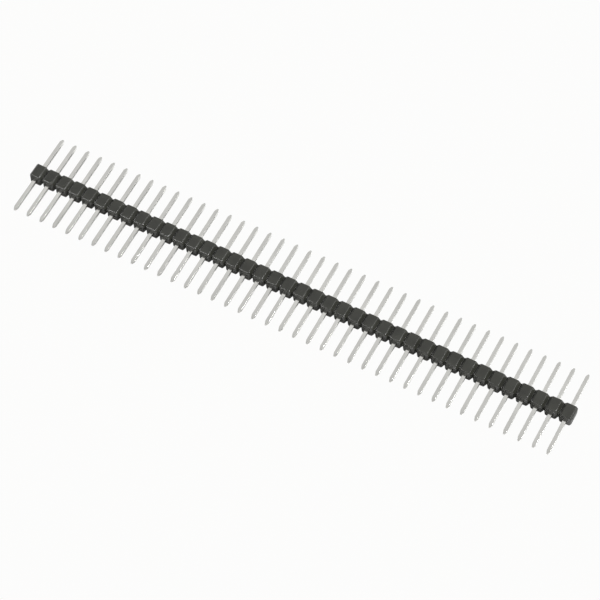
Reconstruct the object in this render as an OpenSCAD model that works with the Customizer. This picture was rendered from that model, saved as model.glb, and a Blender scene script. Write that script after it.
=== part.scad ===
// Straight single-row pin header strip: one moulded strip of break-off cells, with a square
// contact pin pressed through each cell. It lies on its side, as it comes to rest on a table.
//
// X runs along the strip and is 0 at its middle. The pins run along Y: the board side, with
// the standoff feet, faces -Y, the mating side faces +Y, and Y is 0 at the middle of the
// moulding. Z is 0 at the underside of the moulding.

/* [Strip] */
// Number of cells, each with one pin
positions = 40; // [2:1:50]
// Distance from one pin to the next
pitch = 2.54; // [2.0:0.01:3.96]
// How far each end face stands short of the middle of the groove it was broken or cut at
end_trim = 0.17; // [0:0.01:0.3]

/* [Moulding] */
// Length of the moulding along the pins
body_len = 2.54; // [2.0:0.01:5.0]
// Thickness of the moulding across the pins
body_thick = 2.5; // [2.0:0.01:4.0]
// Bevel along the edges of the mating face
mate_bevel = 0.08; // [0.02:0.01:0.3]
// Reach of the bevel on the feet, along the pins
foot_bevel_len = 0.1; // [0.02:0.01:0.3]
// Drop of the bevel on the feet, across the pins
foot_bevel_drop = 0.2; // [0.02:0.01:0.4]

/* [Break-off grooves] */
// Depth of the groove on each broad side
groove_depth = 0.6; // [0.1:0.01:0.9]
// Width of the groove at the surface
groove_width = 1.0; // [0.3:0.01:1.2]
// Width of the flat at the bottom of the groove
groove_flat = 0.06; // [0.02:0.01:0.25]

/* [Standoff feet] */
// Height of the feet, which is the depth of the slots between them
foot_height = 0.4; // [0.1:0.01:0.8]
// Width of the slot at the seating faces of the feet
slot_width = 0.66; // [0.3:0.01:1.2]
// Width of the flat at the bottom of the slot
slot_flat = 0.06; // [0.02:0.01:0.25]

/* [Pins] */
// Side of the square pin
pin_side = 0.64; // [0.4:0.01:0.8]
// Free length of the pin beyond the mating face
mate_len = 6.83; // [3.0:0.01:20.0]
// Free length of the pin beyond the feet
tail_len = 6.83; // [2.5:0.01:20.0]
// Length of the tapered ends
taper_len = 0.6; // [0.1:0.01:1.5]
// Side of the small square that is left at each end
tip_side = 0.28; // [0.1:0.01:0.38]

/* [Grip of the pins] */
// Clearance all round the straight part of the pin in its hole
hole_gap = 0.02; // [0:0.01:0.05]
// Length of the swaged stretch that grips the moulding
swage_len = 0.8; // [0.2:0.01:1.2]
// Length of the ramp at each end of the swaged stretch
swage_ramp = 0.15; // [0.05:0.01:0.3]
// How far the swaged stretch is spread on each side, along the strip
swage_out = 0.06; // [0.06:0.01:0.15]
// How far the swaged stretch is pressed in on each side, across the strip
swage_in = 0.05; // [0:0.01:0.1]

/* [Hidden] */
// room that a cutting shape leaves beyond the surface it cuts
cut = 1;
strip_len = positions * pitch - 2 * end_trim;
face_y = body_len / 2;
pin_z = body_thick / 2;
tail_y = -face_y - tail_len;
mate_y = face_y + mate_len;
pin_half = pin_side / 2;
tip_half = tip_side / 2;
hole_side = pin_side + 2 * hole_gap;
swage_half = pin_half + swage_out;
swage_end = swage_len / 2;
ramp_end = swage_end + swage_ramp;

// X of pin n, counted from 1 at the -X end
function pin_x(n) = (n - (positions + 1) / 2) * pitch;

// a half outline at +X, from its points at rising Y, made whole by its mirror image at -X
function both_sides(half) =
    concat(half, [for (k = [len(half) - 1 : -1 : 0]) [-half[k].x, half[k].y]]);

// outline of a pin along Y, with tapered ends and half the given width in its swaged stretch
function pin_outline(middle_half) = both_sides([
    [tip_half, tail_y],
    [pin_half, tail_y + taper_len],
    [pin_half, -ramp_end],
    [middle_half, -swage_end],
    [middle_half, swage_end],
    [pin_half, ramp_end],
    [pin_half, mate_y - taper_len],
    [tip_half, mate_y]]);

// section of the moulding across the strip: X here is along the pins, Y is across them
module moulding_section() {
    z = body_thick / 2;
    polygon([
        [-face_y + foot_bevel_len, -z],
        [face_y - mate_bevel, -z],
        [face_y, -z + mate_bevel],
        [face_y, z - mate_bevel],
        [face_y - mate_bevel, z],
        [-face_y + foot_bevel_len, z],
        [-face_y, z - foot_bevel_drop],
        [-face_y, -z + foot_bevel_drop]]);
}

// a notch that narrows from its mouth, at Y = 0, to a flat at the given depth below it
module notch(width, flat, depth) {
    slope = (width - flat) / 2 / depth;
    mouth = width / 2 + slope * cut;
    polygon([[-mouth, cut], [-flat / 2, -depth], [flat / 2, -depth], [mouth, cut]]);
}

// the break-off groove in the upper side, and its mirror image in the underside
module break_grooves() {
    for (side = [0, 1])
        mirror([0, 0, side])
            translate([0, 0, body_thick / 2])
                rotate([90, 0, 0])
                    linear_extrude(body_len + 2 * cut, center = true)
                        notch(groove_width, groove_flat, groove_depth);
}

// the slot between two feet, right through the moulding
module foot_slot() {
    translate([0, -face_y, 0])
        mirror([0, 1, 0])
            linear_extrude(body_thick + 2 * cut, center = true)
                notch(slot_width, slot_flat, foot_height);
}

// a straight square hole, and the pocket that the swaged stretch fills
module pin_hole() {
    cube([hole_side, body_len + 2 * cut, hole_side], center = true);
    linear_extrude(hole_side, center = true)
        polygon(both_sides([
            [pin_half, -ramp_end],
            [swage_half, -swage_end],
            [swage_half, swage_end],
            [pin_half, ramp_end]]));
}

module housing() {
    color([0.16, 0.16, 0.155])
        translate([0, 0, pin_z])
            difference() {
                rotate([90, 0, 90])
                    linear_extrude(strip_len, center = true)
                        moulding_section();
                for (n = [0 : positions])
                    translate([pin_x(n) + pitch / 2, 0, 0]) {
                        break_grooves();
                        foot_slot();
                    }
                for (n = [1 : positions])
                    translate([pin_x(n), 0, 0])
                        pin_hole();
            }
}

// a square pin, spread along the strip and pressed in across it where it is swaged
module pin(n) {
    color([0.76, 0.76, 0.74])
        translate([pin_x(n), 0, pin_z])
            intersection() {
                linear_extrude(pin_side, center = true)
                    polygon(pin_outline(swage_half));
                rotate([0, 90, 0])
                    linear_extrude(2 * swage_half, center = true)
                        polygon(pin_outline(pin_half - swage_in));
            }
}

housing();
for (n = [1 : positions])
    pin(n);
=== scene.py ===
"""Looks of a straight single-row pin header strip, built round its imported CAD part.

The strip lies on its side. X runs along it, the board side with the standoff feet faces -Y, the
mating side faces +Y, and the moulding rests on Z = 0. All lengths are in metres. The moulding and
the contacts are surfaces worked out from a few sizes; the places of the contacts, and the outer
sizes, are read from the CAD frame.
"""

import math

import bpy
import numpy as np
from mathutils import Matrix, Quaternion, Vector


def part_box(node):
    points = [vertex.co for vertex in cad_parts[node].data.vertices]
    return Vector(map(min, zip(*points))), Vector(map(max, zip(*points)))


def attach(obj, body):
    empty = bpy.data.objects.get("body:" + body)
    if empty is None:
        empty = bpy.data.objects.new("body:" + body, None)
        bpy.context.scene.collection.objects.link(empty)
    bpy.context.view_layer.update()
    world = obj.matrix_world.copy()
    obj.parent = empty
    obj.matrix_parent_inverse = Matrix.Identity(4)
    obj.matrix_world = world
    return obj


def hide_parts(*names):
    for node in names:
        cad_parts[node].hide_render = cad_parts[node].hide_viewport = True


bl_info = {
    "name": "Pin Header Strip",
    "version": (1, 0, 0),
    "blender": (4, 5, 0),
    "location": "View3D > Sidebar > Pin Header",
    "description": "Builds the moulding, the contacts and the stage of a pin header strip",
    "category": "Object",
}

MM = 0.001

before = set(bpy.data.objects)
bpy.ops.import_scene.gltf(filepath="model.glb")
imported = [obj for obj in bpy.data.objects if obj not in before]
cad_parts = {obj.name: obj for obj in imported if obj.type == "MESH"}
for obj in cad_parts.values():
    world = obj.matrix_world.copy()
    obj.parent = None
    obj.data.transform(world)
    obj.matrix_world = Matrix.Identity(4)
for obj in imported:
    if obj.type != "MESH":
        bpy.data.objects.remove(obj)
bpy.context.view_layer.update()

# ---------------------------------------------------------------------------------------------
# What the frame says: outer sizes and the places of the contacts
# ---------------------------------------------------------------------------------------------

CONTACT_NODES = sorted((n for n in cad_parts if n.startswith("pin_")), key=lambda n: int(n[4:]))
CONTACT_BOXES = np.array([[list(corner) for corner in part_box(node)] for node in CONTACT_NODES])
CONTACT_X = CONTACT_BOXES[:, :, 0].mean(axis=1)
CONTACT_LOW, CONTACT_HIGH = CONTACT_BOXES[0]
AXIS_Z = (CONTACT_LOW[2] + CONTACT_HIGH[2]) / 2
CONTACT_SIDE = CONTACT_HIGH[2] - CONTACT_LOW[2]
SWAGE_WIDTH = CONTACT_HIGH[0] - CONTACT_LOW[0]
PITCH = float(np.diff(CONTACT_X).mean())

MOULDING_LOW, MOULDING_HIGH = np.array([list(corner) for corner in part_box("housing")])
STRIP_HALF = (MOULDING_HIGH[0] - MOULDING_LOW[0]) / 2
HALF_THICKNESS = (MOULDING_HIGH[2] - MOULDING_LOW[2]) / 2
SEAT_Y, MATE_Y = MOULDING_LOW[1], MOULDING_HIGH[1]


# ---------------------------------------------------------------------------------------------
# Sizes and colours that a user would change
# ---------------------------------------------------------------------------------------------


def length_property(label, description, millimetres):
    """A property that holds a length, whose default is given in millimetres."""
    return bpy.props.FloatProperty(
        name=label, description=description, default=millimetres * MM, min=0, precision=5, unit="LENGTH"
    )


def colour_property(label, description, colour):
    """A property that holds a linear colour."""
    return bpy.props.FloatVectorProperty(
        name=label, description=description, default=colour, size=3, min=0, max=1, subtype="COLOR"
    )


def angle_property(label, description, degrees):
    """A property that holds an angle, whose default is given in degrees."""
    return bpy.props.FloatProperty(
        name=label, description=description, default=math.radians(degrees), subtype="ANGLE", unit="ROTATION"
    )


def share_property(label, description, share):
    """A property that holds a share from 0 to 1."""
    return bpy.props.FloatProperty(
        name=label, description=description, default=share, min=0, max=1, subtype="FACTOR"
    )


def strength_property(label, description, strength, unit="NONE"):
    """A property that holds the strength of a light, which is never negative."""
    return bpy.props.FloatProperty(name=label, description=description, default=strength, min=0, unit=unit)


class HeaderMouldingSettings(bpy.types.PropertyGroup):
    """Sizes and finish of the moulded strip."""

    groove_depth: length_property("Groove Depth", "Depth of the break-off groove", 0.6)
    groove_width: length_property("Groove Width", "Width of the groove at the surface", 1.0)
    slot_depth: length_property("Slot Depth", "Height of the standoff feet", 0.4)
    slot_width: length_property("Slot Width", "Width of the slot between two feet", 0.66)
    notch_floor: length_property("Notch Floor", "Width of the bottom of grooves and slots", 0.06)
    edge_ease: length_property("Edge Ease", "Half the reach of the rounding beside a notch", 0.05)
    foot_bevel_reach: length_property("Foot Bevel Reach", "Reach of the feet's bevel, along the pins", 0.1)
    foot_bevel_drop: length_property("Foot Bevel Drop", "Drop of the feet's bevel, across the pins", 0.2)
    mate_edge: length_property("Mating Edge", "Setback of the rounded edge round the mating face", 0.11)
    hole_side: length_property("Hole Side", "Side of the square hole", 0.68)
    hole_lead: length_property("Hole Lead-in", "Reach of the lead-in at each end of the hole", 0.04)
    colour: colour_property("Colour", "Colour of the black plastic", (0.0170, 0.0174, 0.0140))
    roughness: share_property("Roughness", "Mean roughness of the moulded surface", 0.25)


class HeaderContactSettings(bpy.types.PropertyGroup):
    """Sizes and finish of the contact pins."""

    taper_length: length_property("Taper Length", "Length of the tapered ends", 0.6)
    tip_side: length_property("Tip Side", "Side of the small square left at each end", 0.28)
    corner_radius: length_property("Corner Radius", "Radius along the four edges of the wire", 0.05)
    swage_length: length_property("Swage Length", "Length of the stretch that grips the moulding", 0.8)
    swage_ramp: length_property("Swage Ramp", "Length of the ramp at each end of that stretch", 0.15)
    swage_press: length_property("Swage Press", "How far that stretch is pressed in on each side", 0.05)
    colour: colour_property("Colour", "Colour of the tin plating", (0.795, 0.790, 0.755))
    roughness: share_property("Roughness", "Mean roughness of the plating", 0.09)


class HeaderStageSettings(bpy.types.PropertyGroup):
    """Camera, floor and light."""

    azimuth: angle_property("Azimuth", "0 looks along +Y, 90 along -X", 28.026)
    elevation: angle_property("Elevation", "Height of the camera above the horizon", 59.316)
    roll: angle_property("Roll", "Turn of the camera about its own line of sight", -0.214)
    distance: length_property("Distance", "From the camera to the point it looks at", 372.19)
    aim_x: length_property("Aim Along Strip", "Where the camera looks, from the strip's middle", 1.536)
    aim_y: bpy.props.FloatProperty(
        name="Aim Across Strip",
        description="Where the camera looks, from the moulding's middle along the pins",
        default=-1.207 * MM,
        precision=5,
        unit="LENGTH",
    )
    focal_length: bpy.props.FloatProperty(
        name="Focal Length", description="Lens of the camera", default=135.14, unit="CAMERA"
    )
    white: share_property("White", "Tone of the floor and the backdrop", 0.975)
    horizon: strength_property("Horizon", "Strength of the light from the horizon", 0.8)
    overhead: strength_property("Overhead", "Strength of the light from overhead", 0.74)
    key_power: strength_property("Key Light", "Power of the soft light on the right", 14, "POWER")
    fill_power: strength_property("Fill Light", "Power of the low soft light in front", 3, "POWER")


# ---------------------------------------------------------------------------------------------
# Surfaces
# ---------------------------------------------------------------------------------------------


SHARP_ANGLE = math.radians(38)


def soft_ramp(run, ease):
    """A ramp with an eased start: 0 up to -ease, the run itself from +ease on, and between them
    the square of (run + ease) over four times ease, which meets both without a kink."""
    eased = (run + ease) ** 2 / (4 * ease)
    return np.where(run <= -ease, 0, np.where(run >= ease, run, eased))


def notch_depth(offset, width, floor, depth, ease):
    """Depth of a V notch at an offset from its middle: one soft ramp starts down the slope at half
    the width, and a second one, taken away from it, levels it at half the floor."""
    slope = depth / (width / 2 - floor / 2)
    run = np.abs(offset)
    return slope * (soft_ramp(width / 2 - run, ease) - soft_ramp(floor / 2 - run, floor / 2))


def eased_corner(before, corner, after, setback, steps):
    """A corner turned into a quadratic Bezier arc: corner + (1 - u)^2 * setback towards the point
    before it + u^2 * setback towards the point after it, with u from 0 to 1. The points may be
    arrays whose last axis is the coordinates; the arc's points come along a new second-last axis."""
    u = np.linspace(0, 1, steps)[:, None]
    back = before - corner
    on = after - corner
    back = back / np.linalg.norm(back, axis=-1, keepdims=True)
    on = on / np.linalg.norm(on, axis=-1, keepdims=True)
    arc = (1 - u) ** 2 * back[..., None, :] + u**2 * on[..., None, :]
    return corner[..., None, :] + setback * arc


def closed_tube(rings):
    """Vertices and faces of a closed skin: rings of points, one after another, joined by quads and
    closed at both ends by a fan to the middle of the end ring."""
    rows, columns = rings.shape[:2]
    index = np.arange(rows * columns).reshape(rows, columns)
    onward = np.roll(index, -1, axis=1)
    quads = np.stack([index[:-1], index[1:], onward[1:], onward[:-1]], axis=-1)
    first, last = rows * columns, rows * columns + 1
    start = np.stack([np.full(columns, first), index[0], onward[0]], axis=-1)
    finish = np.stack([np.full(columns, last), onward[-1], index[-1]], axis=-1)
    vertices = np.concatenate([rings.reshape(-1, 3), [rings[0].mean(axis=0), rings[-1].mean(axis=0)]])
    return vertices, quads, np.concatenate([start, finish]), index


def add_piece(name, vertices, faces, masks, material, nodes):
    """Makes a finished piece: its mesh with its masks, smooth shading, material and body."""
    mesh = bpy.data.meshes.new(name)
    mesh.from_pydata(vertices.tolist(), [], [face for group in faces for face in group.tolist()])
    for mask_name, values in masks.items():
        attribute = mesh.attributes.new(mask_name, "FLOAT", "POINT")
        attribute.data.foreach_set("value", np.ascontiguousarray(values, dtype=np.float32))
    mesh.polygons.foreach_set("use_smooth", np.ones(len(mesh.polygons), dtype=bool))
    mesh.set_sharp_from_angle(angle=SHARP_ANGLE)
    mesh.materials.append(material)
    mesh.validate()
    mesh.update()
    piece = bpy.data.objects.new(name, mesh)
    bpy.context.scene.collection.objects.link(piece)
    shading = piece.modifiers.new("Weighted Normal", "WEIGHTED_NORMAL")
    shading.keep_sharp = True
    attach(piece, "root")
    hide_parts(*nodes)
    return piece


# ---------------------------------------------------------------------------------------------
# Moulding
# ---------------------------------------------------------------------------------------------

# The end faces: sizes of the smaller copies that close them, their rounding and the shares of it
# where a section stands, how rough the break is, and its waves, each as radians per millimetre
# along y and along z, and a phase
CAP_SHARES = (0.7, 0.35)
END_EASE = 0.03 * MM
END_STEPS = np.array([1, 0.3, 0])
BREAK_RELIEF = 0.012 * MM
BREAK_WAVES = ((2.1, 5.3, 0.0), (7.7, -3.1, 1.3), (4.7, 13.0, 0.4))
# The section: setback and steps of the corners of the feet's bevel, steps of the mating edge, and
# where the broad face is divided between them
FOOT_SETBACK = 0.05 * MM
FOOT_STEPS = 5
MATE_STEPS = 7
BROAD_SHARES = np.array([[0.3], [0.7]])
# How much of the bevel is left at the bottom of a groove
BEVEL_LEFT = 0.5
# Room that the pocket leaves on each side of the swaged stretch
POCKET_CLEARANCE = 0.004 * MM
# Two places along the strip this close together are the same place
SAME_PLACE = 1e-7


def cell_boundaries():
    """X of the middle of every groove, from one end of the strip to the other."""
    return CONTACT_X[0] - PITCH / 2 + PITCH * np.arange(len(CONTACT_X) + 1)


def from_boundary(x):
    """Distance from each X to the nearest groove middle."""
    return np.abs(x[:, None] - cell_boundaries()).min(axis=1)


def section_places(sizes):
    """X of every section: fine steps where the notches bend, one at each wall of each hole's
    mouth, and the two end faces with their small rounding."""
    ease = sizes.edge_ease
    floor = sizes.notch_floor * np.array([0, 0.25, 0.5, 0.75, 1])
    bends = ease * np.array([-1, -0.5, 0, 0.5, 1])
    offsets = np.concatenate([floor, sizes.slot_width / 2 + bends, sizes.groove_width / 2 + bends])
    offsets = np.concatenate([-offsets[1:], offsets])
    mouth = sizes.hole_side / 2 + sizes.hole_lead
    x = np.concatenate(
        [
            (cell_boundaries()[:, None] + offsets).ravel(),
            (CONTACT_X[:, None] + [-mouth, mouth]).ravel(),
        ]
    )
    x = np.sort(x[np.abs(x) < STRIP_HALF - 2 * END_EASE])
    end = STRIP_HALF - END_EASE * END_STEPS
    return np.concatenate([-end[::-1], x, end])


def moulding_sections(x, sizes):
    """The closed section of the moulding at each X, as (y, z) from the contact axis, and which of
    its points lie on an edge. Half of it runs from the hole's mouth on the seat face, over the
    foot's bevel and the broad face, to the mouth on the mating face; the rest is its mirror image.
    The broad face comes in by the groove's depth, and the seat face by the slot's. The bevel's
    size falls with the groove's depth, down to the share that is left at its bottom."""
    offset = from_boundary(x)
    ease = sizes.edge_ease
    groove = notch_depth(offset, sizes.groove_width, sizes.notch_floor, sizes.groove_depth, ease)
    slot = notch_depth(offset, sizes.slot_width, sizes.notch_floor, sizes.slot_depth, ease)
    height = HALF_THICKNESS - groove
    seat = SEAT_Y + slot
    share = 1 - (1 - BEVEL_LEFT) * groove / sizes.groove_depth
    mouth = np.full_like(x, sizes.hole_side / 2 + sizes.hole_lead)
    mate = np.full_like(x, MATE_Y)

    seat_mouth = np.stack([seat, mouth], axis=-1)
    seat_corner = np.stack([seat, height - sizes.foot_bevel_drop * share], axis=-1)
    bevel_corner = np.stack([seat + sizes.foot_bevel_reach * share, height], axis=-1)
    mate_corner = np.stack([mate, height], axis=-1)
    mate_mouth = np.stack([mate, mouth], axis=-1)

    lower = eased_corner(seat_mouth, seat_corner, bevel_corner, FOOT_SETBACK, FOOT_STEPS)
    upper = eased_corner(seat_corner, bevel_corner, mate_corner, FOOT_SETBACK, FOOT_STEPS)
    round_edge = eased_corner(bevel_corner, mate_corner, mate_mouth, sizes.mate_edge, MATE_STEPS)
    broad = upper[:, -1:] * (1 - BROAD_SHARES) + round_edge[:, :1] * BROAD_SHARES
    runs = [seat_mouth[:, None], lower, upper, broad, round_edge, mate_mouth[:, None]]
    half = np.concatenate(runs, axis=1)
    section = np.concatenate([half, half[:, ::-1] * [1, -1]], axis=1)

    lengths = [run.shape[1] for run in runs]
    on_corner = np.repeat([0, 1, 1, 0, 1, 0], lengths)
    on_broad = np.repeat([0, 0, 1, 1, 1, 0], lengths)
    groove_edge = np.exp(-(((offset - sizes.groove_width / 2) / ease) ** 2))
    slot_edge = np.exp(-(((offset - sizes.slot_width / 2) / ease) ** 2)) * (slot > 0)
    edge = np.maximum(on_corner, groove_edge[:, None] * on_broad)
    edge[:, :2] = np.maximum(edge[:, :2], slot_edge[:, None])
    edge = np.concatenate([edge, edge[:, ::-1]], axis=1)
    return section, edge


def torn_relief(y, z):
    """Height of the snapped end faces: the mean of crossed sine waves of different length."""
    waves = [np.sin((per_y * y + per_z * z) / MM + phase) for per_y, per_z, phase in BREAK_WAVES]
    return BREAK_RELIEF * np.mean(waves, axis=0)


def moulding_rings(x, section):
    """The sections set out along X. The end sections draw in by the rounding of the end faces, and
    smaller copies of them close each end, standing in or out by the torn relief."""
    y, z = section[..., 0].copy(), section[..., 1].copy()
    middle = (SEAT_Y + MATE_Y) / 2
    inset = np.zeros_like(x)
    inset[-3:] = END_EASE * END_STEPS[::-1]
    inset[:3] = END_EASE * END_STEPS
    y -= inset[:, None] * np.sign(y - middle)
    z -= inset[:, None] * np.sign(z)
    rings = np.stack([np.broadcast_to(x[:, None], y.shape), y, z + AXIS_Z], axis=-1)

    caps = []
    centre = np.array([0, middle, AXIS_Z])
    for share in CAP_SHARES:
        ring = rings[-1] * [1, 0, 0] + centre + (rings[-1] * [0, 1, 1] - centre) * share
        ring[:, 0] -= BREAK_RELIEF + torn_relief(ring[:, 1], ring[:, 2])
        caps.append(ring)
    finish = np.array(caps)
    start = finish[::-1] * [-1, 1, 1]
    return np.concatenate([start, rings, finish])


def mouth_loops(index, left, right, low, high):
    """The four vertices of every hole's mouth in one face of the skin, in the order of the loops."""
    corners = [index[left, low], index[right, low], index[right, high], index[left, high]]
    return np.stack(corners, axis=-1)[:, None]


def hole_walls(index, rows, x, sizes, contact_sizes, first_vertex):
    """The walls of all the holes: a square loop carried along Y, from its mouth in the seat face
    through the lead-in and the pocket round the swage to the mouth in the mating face. The two end
    loops are the vertices that the skin already has there."""
    hole, lead = sizes.hole_side / 2, sizes.hole_lead
    swage_end = contact_sizes.swage_length / 2
    ramp_end = swage_end + contact_sizes.swage_ramp
    pocket = SWAGE_WIDTH / 2 + POCKET_CLEARANCE
    along = np.array([SEAT_Y + lead, -ramp_end, -swage_end, swage_end, ramp_end, MATE_Y - lead])
    half_x = np.array([hole, hole, pocket, pocket, hole, hole])
    turn_x = np.array([-1, 1, 1, -1])
    turn_z = np.array([-1, -1, 1, 1])
    shape = (len(CONTACT_X), len(along), 4)
    loops = np.empty(shape + (3,))
    loops[..., 0] = CONTACT_X[:, None, None] + half_x[:, None] * turn_x
    loops[..., 1] = along[:, None]
    loops[..., 2] = AXIS_Z + hole * turn_z

    mouth = hole + lead
    left = rows + np.searchsorted(x, CONTACT_X - mouth - SAME_PLACE)
    right = rows + np.searchsorted(x, CONTACT_X + mouth - SAME_PLACE)
    columns = index.shape[1]
    seat_low, seat_high = columns - 1, 0
    mate_high, mate_low = columns // 2 - 1, columns // 2
    inner = first_vertex + np.arange(np.prod(shape)).reshape(shape)
    seat = mouth_loops(index, left, right, seat_low, seat_high)
    mate = mouth_loops(index, left, right, mate_low, mate_high)
    loop = np.concatenate([seat, inner, mate], axis=1)
    onward = np.roll(loop, -1, axis=2)
    walls = np.stack([loop[:, :-1], onward[:, :-1], onward[:, 1:], loop[:, 1:]], axis=-1)
    return loops.reshape(-1, 3), walls.reshape(-1, 4), left, (seat_low, mate_high)


def build_moulding(sizes, contact_sizes):
    """The whole strip as one closed skin with its square holes."""
    x = section_places(sizes)
    section, edge = moulding_sections(x, sizes)
    rings = moulding_rings(x, section)
    vertices, quads, fans, index = closed_tube(rings)
    loops, walls, left, open_columns = hole_walls(
        index, len(CAP_SHARES), x, sizes, contact_sizes, len(vertices)
    )
    kept = np.ones(quads.shape[:2], dtype=bool)
    for column in open_columns:
        kept[left, column] = False
    cap = np.ones((len(CAP_SHARES), edge.shape[1]))
    edges = np.concatenate([cap, edge, cap]).ravel()
    torn = np.zeros((len(rings), edge.shape[1]))
    torn[: len(CAP_SHARES) + 1] = 1
    torn[-len(CAP_SHARES) - 1 :] = 1
    rest = np.zeros(len(loops))
    masks = {
        "edge": np.concatenate([edges, [0, 0], rest]),
        "torn": np.concatenate([torn.ravel(), [1, 1], rest]),
    }
    return add_piece(
        "moulded_strip",
        np.concatenate([vertices, loops]),
        [quads[kept], fans, walls],
        masks,
        black_plastic(sizes),
        ["housing"],
    )


# ---------------------------------------------------------------------------------------------
# Contacts
# ---------------------------------------------------------------------------------------------


# The tips: distance from the very end and share of the tip's half side, for each ring of the dome
TIP_DOME = np.array([[0, 0.35], [0.006 * MM, 0.75], [0.02 * MM, 0.94]])
TIP_START = 0.04 * MM
# The corner where the taper meets the straight wire
SHOULDER_SETBACK = 0.08 * MM
SHOULDER_STEPS = 5
# A ring of the straight wire stands this far outside each face of the moulding
EXIT_MARGIN = 0.1 * MM
POINTS_PER_CORNER = 4
# The corner radius is at most this share of the half side
RADIUS_SHARE = 0.42
# Wear mask at the points of each rounded corner, and the share of the taper over which a cut fades
CORNER_WEAR = (1.0, 0.6, 0.6, 1.0)
CUT_FADE = 0.9
# How much darker and rougher the wire is made where the taper starts, and how far inwards that fades out
OUTER_DARKENING = 0.55
OUTER_REACH = 5.5 * MM


def contact_profile(sizes):
    """Places along Y and the half sides along the strip and across it, from the board-side tip to
    the mating tip. The taper meets the straight wire in an eased corner, each tip has a small
    domed end, and the swaged stretch is spread along the strip and pressed in across it."""
    half, tip = CONTACT_SIDE / 2, sizes.tip_side / 2
    swage_end = sizes.swage_length / 2
    ramp_end = swage_end + sizes.swage_ramp
    dome = TIP_DOME * [1, tip]
    start = np.array([TIP_START, tip])
    corner = np.array([sizes.taper_length, half])
    onward = corner * [2, 1]
    shoulder = eased_corner(start, corner, onward, SHOULDER_SETBACK, SHOULDER_STEPS)
    end = np.concatenate([dome, start[None], shoulder])
    tail = np.column_stack([CONTACT_LOW[1] + end[:, 0], end[:, 1], end[:, 1]])
    mate = np.column_stack([CONTACT_HIGH[1] - end[::-1, 0], end[::-1, 1], end[::-1, 1]])
    spread, pressed = SWAGE_WIDTH / 2, half - sizes.swage_press
    middle = np.array(
        [
            [SEAT_Y - EXIT_MARGIN, half, half],
            [-ramp_end, half, half],
            [-swage_end, spread, pressed],
            [swage_end, spread, pressed],
            [ramp_end, half, half],
            [MATE_Y + EXIT_MARGIN, half, half],
        ]
    )
    return np.concatenate([tail, middle, mate])


def rounded_square():
    """A square with round corners, as two signs for each point, which say what corner it belongs
    to, and the unit vector of the arc about that corner, at even angles a quarter turn wide."""
    quarter = math.pi / 2
    starts = quarter * np.arange(4)
    angles = (starts[:, None] + np.linspace(0, quarter, POINTS_PER_CORNER)).ravel()
    corners = np.repeat(starts + quarter / 2, POINTS_PER_CORNER)
    signs = np.sign(np.column_stack([np.cos(corners), np.sin(corners)]))
    return signs, np.column_stack([np.cos(angles), np.sin(angles)])


def contact_rings(x, profile, sizes):
    """A round-cornered square carried along Y: the corner's place is the half sides less the
    radius, plus the radius times the arc's direction. The radius shrinks with the half side."""
    corner, arc = rounded_square()
    halves = profile[:, 1:]
    radius = np.minimum(sizes.corner_radius, RADIUS_SHARE * halves.min(axis=1))[:, None, None]
    around = corner * (halves[:, None] - radius) + arc * radius
    rings = np.empty((len(profile), len(corner), 3))
    rings[..., 0] = x + around[..., 0]
    rings[..., 1] = profile[:, :1]
    rings[..., 2] = AXIS_Z + around[..., 1]
    return rings


def build_contacts(sizes):
    """Every contact, each a closed skin of its own. The tip mask darkens and roughens the wire: it is 1 at
    the cut ends, falls along the taper to the outer darkening, and from there evenly to 0 over the outer
    reach, so the wire is darker towards its ends."""
    material = tin_plating(sizes)
    profile = contact_profile(sizes)
    to_tip = np.minimum(profile[:, 0] - CONTACT_LOW[1], CONTACT_HIGH[1] - profile[:, 0])
    cut = np.clip(1 - (to_tip - TIP_START) / (sizes.taper_length * CUT_FADE), 0, 1)
    # The wire is made darker and rougher towards its ends, fading out over the outer reach inwards from the
    # taper
    outer_darkening = OUTER_DARKENING * np.clip(1 - (to_tip - sizes.taper_length) / OUTER_REACH, 0, 1)
    tip = np.maximum(cut, outer_darkening)
    made = []
    for number, (node, x) in enumerate(zip(CONTACT_NODES, CONTACT_X), start=1):
        rings = contact_rings(x, profile, sizes)
        vertices, quads, fans, _ = closed_tube(rings)
        columns = rings.shape[1]
        masks = {
            "edge": np.concatenate([np.tile(CORNER_WEAR, len(profile) * 4), [0, 0]]),
            "tip": np.concatenate([np.repeat(tip, columns), [1, 1]]),
        }
        faces = [quads.reshape(-1, 4), fans]
        made.append(add_piece(f"contact_{number}", vertices, faces, masks, material, [node]))
    return made


# ---------------------------------------------------------------------------------------------
# Materials
# ---------------------------------------------------------------------------------------------


# Shares of the colour: darkest and lightest cloud, rubbed, and snapped or cut; the tin's cut share also
# darkens the wire towards its ends
PLASTIC_TONES = {"dark": 0.82, "light": 1.22, "rubbed": 1.8, "snapped": 1.5}
TIN_TONES = {"dark": 0.9, "light": 1.06, "rubbed": 1.12, "cut": 0.78}
# Added to the mean roughness: smoothest and roughest cloud, rubbed, and snapped or cut; the tin's cut share
# also roughens the wire towards its ends
PLASTIC_ROUGHNESS = {"least": -0.05, "most": 0.06, "rubbed": -0.12, "snapped": 0.3}
TIN_ROUGHNESS = {"least": -0.06, "most": 0.08, "cut": 0.14}
# How much the pits add to the height of the grain
PIT_SHARE = 0.35
# Drawing lines are stretched along the wire by the inverse of this
LINE_SQUEEZE = 0.03


def add_node(tree, kind, place=(0, 0), **values):
    """Adds a node. Values are its properties, or the defaults of its inputs where it has one of
    that name, with _ for a space."""
    node = tree.nodes.new(kind)
    node.location = place
    for name, value in values.items():
        socket = name.replace("_", " ")
        if hasattr(node, name):
            setattr(node, name, value)
        else:
            node.inputs[socket].default_value = value
    return node


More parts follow.
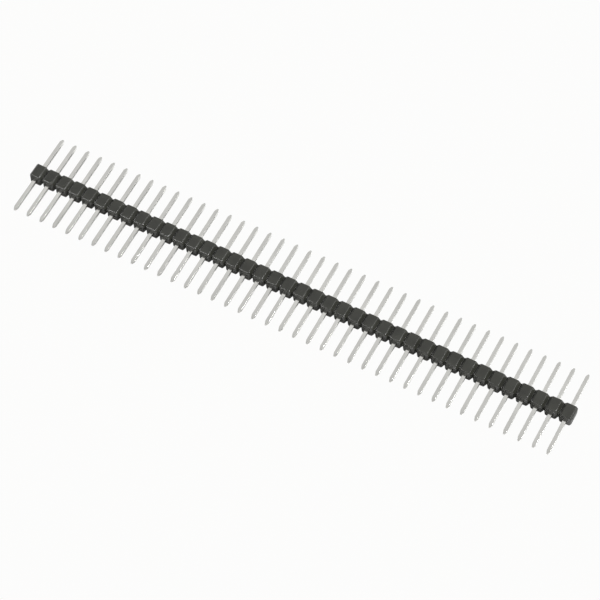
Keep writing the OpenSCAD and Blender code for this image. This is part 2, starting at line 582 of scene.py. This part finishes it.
def new_group(name, inputs, outputs):
    """An empty shader node group with named sockets, and its input and output nodes."""
    group = bpy.data.node_groups.new(name, "ShaderNodeTree")
    for socket, kind, value in inputs:
        made = group.interface.new_socket(socket, in_out="INPUT", socket_type=kind)
        if value is not None:
            made.default_value = value
    for socket, kind in outputs:
        group.interface.new_socket(socket, in_out="OUTPUT", socket_type=kind)
    return group, add_node(group, "NodeGroupInput", (-900, 0)), add_node(group, "NodeGroupOutput", (700, 0))


def fine_grain_group():
    """Grain of a surface: coarse and fine noise added up, stretched as the vector says. Height is
    for bump, and Cloud is a slow change of tone."""
    name = "Fine Grain"
    if name in bpy.data.node_groups:
        return bpy.data.node_groups[name]
    group, given, result = new_group(
        name,
        [
            ("Vector", "NodeSocketVector", None),
            ("Grain Scale", "NodeSocketFloat", 9000.0),
            ("Cloud Scale", "NodeSocketFloat", 500.0),
        ],
        [("Height", "NodeSocketFloat"), ("Cloud", "NodeSocketFloat")],
    )
    grain = add_node(group, "ShaderNodeTexNoise", (-500, 200), Detail=3.0, Roughness=0.6)
    pits = add_node(group, "ShaderNodeTexVoronoi", (-500, -100))
    cloud = add_node(group, "ShaderNodeTexNoise", (-500, -400), Detail=2.0, Roughness=0.5)
    both = add_node(group, "ShaderNodeMath", (0, 100), operation="MULTIPLY_ADD")
    both.inputs[1].default_value = PIT_SHARE
    link = group.links.new
    for node, scale in ((grain, "Grain Scale"), (pits, "Grain Scale"), (cloud, "Cloud Scale")):
        link(given.outputs["Vector"], node.inputs["Vector"])
        link(given.outputs[scale], node.inputs["Scale"])
    link(pits.outputs["Distance"], both.inputs[0])
    link(grain.outputs["Fac"], both.inputs[2])
    link(both.outputs[0], result.inputs["Height"])
    link(cloud.outputs["Fac"], result.inputs["Cloud"])
    return group


def handling_wear_group():
    """Wear by handling: along edges, broken up by noise, with a few scattered rubbed marks."""
    name = "Handling Wear"
    if name in bpy.data.node_groups:
        return bpy.data.node_groups[name]
    group, given, result = new_group(
        name,
        [
            ("Vector", "NodeSocketVector", None),
            ("Edge", "NodeSocketFloat", 0.0),
            ("Amount", "NodeSocketFloat", 0.5),
            ("Mark Scale", "NodeSocketFloat", 1500.0),
        ],
        [("Wear", "NodeSocketFloat")],
    )
    noise = add_node(group, "ShaderNodeTexNoise", (-600, 0), Detail=4.0, Roughness=0.65)
    spread = add_node(group, "ShaderNodeMapRange", (-400, 0), From_Min=0.35, From_Max=0.7)
    on_edge = add_node(group, "ShaderNodeMath", (-200, 100), operation="MULTIPLY")
    marks = add_node(group, "ShaderNodeMapRange", (-400, -300), From_Min=0.68, From_Max=0.8, To_Max=0.6)
    either = add_node(group, "ShaderNodeMath", (0, 0), operation="MAXIMUM")
    scaled = add_node(group, "ShaderNodeMath", (200, 0), operation="MULTIPLY")
    link = group.links.new
    link(given.outputs["Vector"], noise.inputs["Vector"])
    link(given.outputs["Mark Scale"], noise.inputs["Scale"])
    link(noise.outputs["Fac"], spread.inputs["Value"])
    link(noise.outputs["Fac"], marks.inputs["Value"])
    link(spread.outputs["Result"], on_edge.inputs[0])
    link(given.outputs["Edge"], on_edge.inputs[1])
    link(on_edge.outputs[0], either.inputs[0])
    link(marks.outputs["Result"], either.inputs[1])
    link(either.outputs[0], scaled.inputs[0])
    link(given.outputs["Amount"], scaled.inputs[1])
    link(scaled.outputs[0], result.inputs["Wear"])
    return group


def place_group(tree, group, place, **values):
    """Places a node group in a tree, with its own values."""
    node = add_node(tree, "ShaderNodeGroup", place)
    node.node_tree = group
    for name, value in values.items():
        node.inputs[name.replace("_", " ")].default_value = value
    return node


def new_material(name):
    """A material with its tree, its Principled BSDF and the object's own coordinates."""
    material = bpy.data.materials.new(name)
    material.use_nodes = True
    tree = material.node_tree
    return material, tree, tree.nodes["Principled BSDF"], add_node(tree, "ShaderNodeTexCoord", (-1400, 0))


def shade(colour, factor):
    """A colour made lighter or darker, with full alpha."""
    return tuple(min(1, channel * factor) for channel in colour) + (1,)


def black_plastic(sizes):
    """Black glass-filled plastic: eroded-tool grain, slow flow marks, burnished edges, and a
    greyer torn grain where the strip was snapped off."""
    material, tree, surface, place = new_material("black_moulded_plastic")
    link = tree.links.new
    grain = place_group(tree, fine_grain_group(), (-1000, 100), Grain_Scale=16000.0, Cloud_Scale=420.0)
    wear = place_group(tree, handling_wear_group(), (-1000, -200), Amount=0.5, Mark_Scale=1700.0)
    edge = add_node(tree, "ShaderNodeAttribute", (-1200, -300), attribute_name="edge")
    torn = add_node(tree, "ShaderNodeAttribute", (-1200, -500), attribute_name="torn")
    tone = add_node(tree, "ShaderNodeValToRGB", (-700, 300))
    tone.color_ramp.elements[0].position = 0.3
    tone.color_ramp.elements[0].color = shade(sizes.colour, PLASTIC_TONES["dark"])
    tone.color_ramp.elements[1].position = 0.7
    tone.color_ramp.elements[1].color = shade(sizes.colour, PLASTIC_TONES["light"])
    worn = add_node(tree, "ShaderNodeMix", (-400, 300), data_type="RGBA")
    worn.inputs["B"].default_value = shade(sizes.colour, PLASTIC_TONES["rubbed"])
    snapped = add_node(tree, "ShaderNodeMix", (-200, 300), data_type="RGBA")
    snapped.inputs["B"].default_value = shade(sizes.colour, PLASTIC_TONES["snapped"])
    gloss = add_node(tree, "ShaderNodeMapRange", (-700, 0), From_Min=0.25, From_Max=0.75)
    gloss.inputs["To Min"].default_value = sizes.roughness + PLASTIC_ROUGHNESS["least"]
    gloss.inputs["To Max"].default_value = sizes.roughness + PLASTIC_ROUGHNESS["most"]
    burnish = add_node(tree, "ShaderNodeMath", (-400, 0), operation="MULTIPLY_ADD")
    burnish.inputs[1].default_value = PLASTIC_ROUGHNESS["rubbed"]
    rough_end = add_node(tree, "ShaderNodeMath", (-200, 0), operation="MULTIPLY_ADD")
    rough_end.inputs[1].default_value = PLASTIC_ROUGHNESS["snapped"]
    bump = add_node(tree, "ShaderNodeBump", (-400, -300), Strength=0.35, Distance=0.004 * MM)
    link(place.outputs["Object"], grain.inputs["Vector"])
    link(place.outputs["Object"], wear.inputs["Vector"])
    link(edge.outputs["Fac"], wear.inputs["Edge"])
    link(grain.outputs["Cloud"], tone.inputs["Fac"])
    link(tone.outputs["Color"], worn.inputs["A"])
    link(wear.outputs["Wear"], worn.inputs["Factor"])
    link(worn.outputs["Result"], snapped.inputs["A"])
    link(torn.outputs["Fac"], snapped.inputs["Factor"])
    link(snapped.outputs["Result"], surface.inputs["Base Color"])
    link(grain.outputs["Cloud"], gloss.inputs["Value"])
    link(wear.outputs["Wear"], burnish.inputs[0])
    link(gloss.outputs["Result"], burnish.inputs[2])
    link(torn.outputs["Fac"], rough_end.inputs[0])
    link(burnish.outputs[0], rough_end.inputs[2])
    link(rough_end.outputs[0], surface.inputs["Roughness"])
    link(grain.outputs["Height"], bump.inputs["Height"])
    link(bump.outputs["Normal"], surface.inputs["Normal"])
    return material


def tin_plating(sizes):
    """Bright tin over drawn brass wire: lines along the wire, slow tarnish, rubbed edges, and a wire made
    darker and rougher towards its ends, most of all at the tips, which were cut and coined."""
    material, tree, surface, place = new_material("bright_tin_plating")
    link = tree.links.new
    surface.inputs["Metallic"].default_value = 1.0
    along = add_node(tree, "ShaderNodeMapping", (-1200, 200))
    along.inputs["Scale"].default_value = (1.0, LINE_SQUEEZE, 1.0)
    lines = place_group(tree, fine_grain_group(), (-1000, 200), Grain_Scale=22000.0, Cloud_Scale=900.0)
    grain = place_group(tree, fine_grain_group(), (-1000, -100), Grain_Scale=14000.0, Cloud_Scale=260.0)
    wear = place_group(tree, handling_wear_group(), (-1000, -400), Amount=0.35, Mark_Scale=2200.0)
    edge = add_node(tree, "ShaderNodeAttribute", (-1200, -500), attribute_name="edge")
    tip = add_node(tree, "ShaderNodeAttribute", (-1200, -700), attribute_name="tip")
    tone = add_node(tree, "ShaderNodeValToRGB", (-700, 300))
    tone.color_ramp.elements[0].position = 0.32
    tone.color_ramp.elements[0].color = shade(sizes.colour, TIN_TONES["dark"])
    tone.color_ramp.elements[1].position = 0.68
    tone.color_ramp.elements[1].color = shade(sizes.colour, TIN_TONES["light"])
    worn = add_node(tree, "ShaderNodeMix", (-400, 300), data_type="RGBA")
    worn.inputs["B"].default_value = shade(sizes.colour, TIN_TONES["rubbed"])
    # The tip mask darkens the colour at the cut ends and, more weakly, along the wire towards its ends
    cut = add_node(tree, "ShaderNodeMix", (-200, 300), data_type="RGBA")
    cut.inputs["B"].default_value = shade(sizes.colour, TIN_TONES["cut"])
    gloss = add_node(tree, "ShaderNodeMapRange", (-700, 0), From_Min=0.3, From_Max=0.7)
    gloss.inputs["To Min"].default_value = sizes.roughness + TIN_ROUGHNESS["least"]
    gloss.inputs["To Max"].default_value = sizes.roughness + TIN_ROUGHNESS["most"]
    dull = add_node(tree, "ShaderNodeMath", (-400, 0), operation="MULTIPLY_ADD")
    dull.inputs[1].default_value = TIN_ROUGHNESS["cut"]
    drawn = add_node(tree, "ShaderNodeBump", (-600, -300), Strength=0.3, Distance=0.003 * MM)
    pitted = add_node(tree, "ShaderNodeBump", (-400, -300), Strength=0.15, Distance=0.002 * MM)
    link(place.outputs["Object"], along.inputs["Vector"])
    link(along.outputs["Vector"], lines.inputs["Vector"])
    link(place.outputs["Object"], grain.inputs["Vector"])
    link(along.outputs["Vector"], wear.inputs["Vector"])
    link(edge.outputs["Fac"], wear.inputs["Edge"])
    link(grain.outputs["Cloud"], tone.inputs["Fac"])
    link(tone.outputs["Color"], worn.inputs["A"])
    link(wear.outputs["Wear"], worn.inputs["Factor"])
    link(worn.outputs["Result"], cut.inputs["A"])
    link(tip.outputs["Fac"], cut.inputs["Factor"])
    link(cut.outputs["Result"], surface.inputs["Base Color"])
    link(lines.outputs["Cloud"], gloss.inputs["Value"])
    link(tip.outputs["Fac"], dull.inputs[0])
    link(gloss.outputs["Result"], dull.inputs[2])
    link(dull.outputs[0], surface.inputs["Roughness"])
    link(lines.outputs["Height"], drawn.inputs["Height"])
    link(grain.outputs["Height"], pitted.inputs["Height"])
    link(drawn.outputs["Normal"], pitted.inputs["Normal"])
    link(pitted.outputs["Normal"], surface.inputs["Normal"])
    return material


# ---------------------------------------------------------------------------------------------
# Stage
# ---------------------------------------------------------------------------------------------

FLOOR_HALF = 3.0
FLOOR_TONE = 0.6
# The floor's own white is a little warm
FLOOR_BLUE = 0.995
SENSOR_WIDTH = 36
CLIP_START, CLIP_END = 0.01, 20
SOFTBOX_DISTANCE = 1.0
KEY_SOFTBOX = {"size": 0.15, "azimuth": 110, "elevation": 45}
FILL_SOFTBOX = {"size": 0.2, "azimuth": -20, "elevation": 6}


def floor_finish(white):
    """A pale matte floor. Seen straight on it is as bright as the backdrop, as an over-lit
    tabletop is; what it throws back at the strip is a pale grey's light."""
    material, tree, surface, _ = new_material("pale_tabletop")
    tree.nodes.remove(surface)
    matte = add_node(tree, "ShaderNodeBsdfDiffuse", (-200, 0), Color=(FLOOR_TONE,) * 3 + (1,))
    seen = add_node(tree, "ShaderNodeEmission", (-200, -200), Color=(white, white, white * FLOOR_BLUE, 1))
    path = add_node(tree, "ShaderNodeLightPath", (-200, 400))
    mix = add_node(tree, "ShaderNodeMixShader", (0, 0))
    tree.links.new(path.outputs["Is Camera Ray"], mix.inputs["Fac"])
    tree.links.new(matte.outputs[0], mix.inputs[1])
    tree.links.new(seen.outputs[0], mix.inputs[2])
    tree.links.new(mix.outputs[0], tree.nodes["Material Output"].inputs["Surface"])
    return material


def build_floor(white):
    """A wide square floor at the height of the moulding's underside."""
    corners = FLOOR_HALF * np.array([[-1, -1, 0], [1, -1, 0], [1, 1, 0], [-1, 1, 0]])
    mesh = bpy.data.meshes.new("floor")
    mesh.from_pydata(corners.tolist(), [], [[0, 1, 2, 3]])
    mesh.materials.append(floor_finish(white))
    floor = bpy.data.objects.new("floor", mesh)
    bpy.context.scene.collection.objects.link(floor)
    return floor


def set_surround(stage):
    """A soft world with one strength at the horizon and another overhead: the share of the two
    follows the height of the direction. The camera itself sees the same even white as the floor's."""
    world = bpy.data.worlds.new("studio")
    bpy.context.scene.world = world
    world.use_nodes = True
    tree = world.node_tree
    light = tree.nodes["Background"]
    light.inputs["Color"].default_value = (1, 1, 1, 1)
    seen = add_node(tree, "ShaderNodeBackground", (0, -200), Color=(stage.white,) * 3 + (1,))
    place = add_node(tree, "ShaderNodeTexCoord", (-900, 0))
    split = add_node(tree, "ShaderNodeSeparateXYZ", (-700, 0))
    height = add_node(tree, "ShaderNodeMapRange", (-500, 0), interpolation_type="SMOOTHSTEP")
    height.inputs["To Min"].default_value = stage.horizon
    height.inputs["To Max"].default_value = stage.overhead
    path = add_node(tree, "ShaderNodeLightPath", (0, 300))
    mix = add_node(tree, "ShaderNodeMixShader", (200, 0))
    link = tree.links.new
    link(place.outputs["Generated"], split.inputs["Vector"])
    link(split.outputs["Z"], height.inputs["Value"])
    link(height.outputs["Result"], light.inputs["Strength"])
    link(path.outputs["Is Camera Ray"], mix.inputs["Fac"])
    link(light.outputs[0], mix.inputs[1])
    link(seen.outputs[0], mix.inputs[2])
    link(mix.outputs[0], tree.nodes["World Output"].inputs["Surface"])


def add_softbox(name, power, size, azimuth, elevation):
    """A square soft light that faces the strip's middle from the given direction, in degrees."""
    data = bpy.data.lights.new(name, "AREA")
    data.energy = power
    data.size = size
    back = direction(math.radians(azimuth), math.radians(elevation))
    light = bpy.data.objects.new(name, data)
    light.location = back * SOFTBOX_DISTANCE
    light.rotation_euler = back.to_track_quat("Z", "Y").to_euler()
    bpy.context.scene.collection.objects.link(light)
    return light


def direction(azimuth, elevation):
    """Unit vector towards a viewer at that azimuth and elevation."""
    level = math.cos(elevation)
    return Vector((math.sin(azimuth) * level, -math.cos(azimuth) * level, math.sin(elevation)))


def add_camera(stage):
    """The camera, looking at a point of the contacts' plane."""
    data = bpy.data.cameras.new("camera")
    data.sensor_width = SENSOR_WIDTH
    data.lens = stage.focal_length
    data.clip_start, data.clip_end = CLIP_START, CLIP_END
    camera = bpy.data.objects.new("camera", data)
    back = direction(stage.azimuth, stage.elevation)
    camera.location = Vector((stage.aim_x, stage.aim_y, AXIS_Z)) + back * stage.distance
    camera.rotation_mode = "QUATERNION"
    camera.rotation_quaternion = back.to_track_quat("Z", "Y") @ Quaternion((0, 0, 1), stage.roll)
    bpy.context.scene.collection.objects.link(camera)
    bpy.context.scene.camera = camera
    return camera


# ---------------------------------------------------------------------------------------------
# Operators and panel
# ---------------------------------------------------------------------------------------------


class HEADER_OT_build_moulding(bpy.types.Operator):
    """Build the moulded strip with its grooves, feet and holes"""

    bl_idname = "header.build_moulding"
    bl_label = "Build Moulding"

    def execute(self, context):
        build_moulding(context.scene.header_moulding, context.scene.header_contacts)
        return {"FINISHED"}


class HEADER_OT_build_contacts(bpy.types.Operator):
    """Build the row of square contact pins"""

    bl_idname = "header.build_contacts"
    bl_label = "Build Contacts"

    def execute(self, context):
        made = build_contacts(context.scene.header_contacts)
        if len(made) != len(CONTACT_NODES):
            raise RuntimeError("a contact is missing")
        return {"FINISHED"}


class HEADER_OT_set_stage(bpy.types.Operator):
    """Set up the floor, the soft light and the camera"""

    bl_idname = "header.set_stage"
    bl_label = "Set Stage"

    def execute(self, context):
        stage = context.scene.header_stage
        context.scene.view_settings.view_transform = "Standard"
        build_floor(stage.white)
        set_surround(stage)
        add_softbox("key_softbox", stage.key_power, **KEY_SOFTBOX)
        add_softbox("fill_softbox", stage.fill_power, **FILL_SOFTBOX)
        add_camera(stage)
        return {"FINISHED"}


class VIEW3D_PT_pin_header(bpy.types.Panel):
    """Sizes and finishes of the pin header strip"""

    bl_idname = "VIEW3D_PT_pin_header"
    bl_label = "Pin Header Strip"
    bl_space_type = "VIEW_3D"
    bl_region_type = "UI"
    bl_category = "Pin Header"

    def draw(self, context):
        parts = (
            (context.scene.header_moulding, HEADER_OT_build_moulding),
            (context.scene.header_contacts, HEADER_OT_build_contacts),
            (context.scene.header_stage, HEADER_OT_set_stage),
        )
        for settings, operator in parts:
            box = self.layout.box()
            for name in type(settings).__annotations__:
                box.prop(settings, name)
            box.operator(operator.bl_idname)


CLASSES = (
    HeaderMouldingSettings,
    HeaderContactSettings,
    HeaderStageSettings,
    HEADER_OT_build_moulding,
    HEADER_OT_build_contacts,
    HEADER_OT_set_stage,
    VIEW3D_PT_pin_header,
)


def register():
    """Registers the classes and hangs their settings on the scene."""
    for cls in CLASSES:
        bpy.utils.register_class(cls)
    bpy.types.Scene.header_moulding = bpy.props.PointerProperty(type=HeaderMouldingSettings)
    bpy.types.Scene.header_contacts = bpy.props.PointerProperty(type=HeaderContactSettings)
    bpy.types.Scene.header_stage = bpy.props.PointerProperty(type=HeaderStageSettings)


def unregister():
    """Takes the settings off the scene and unregisters the classes."""
    del bpy.types.Scene.header_stage
    del bpy.types.Scene.header_contacts
    del bpy.types.Scene.header_moulding
    for cls in reversed(CLASSES):
        bpy.utils.unregister_class(cls)


def main():
    """Builds everything in order."""
    register()
    bpy.ops.header.build_moulding()
    bpy.ops.header.build_contacts()
    bpy.ops.header.set_stage()


if __name__ == "__main__":
    main()
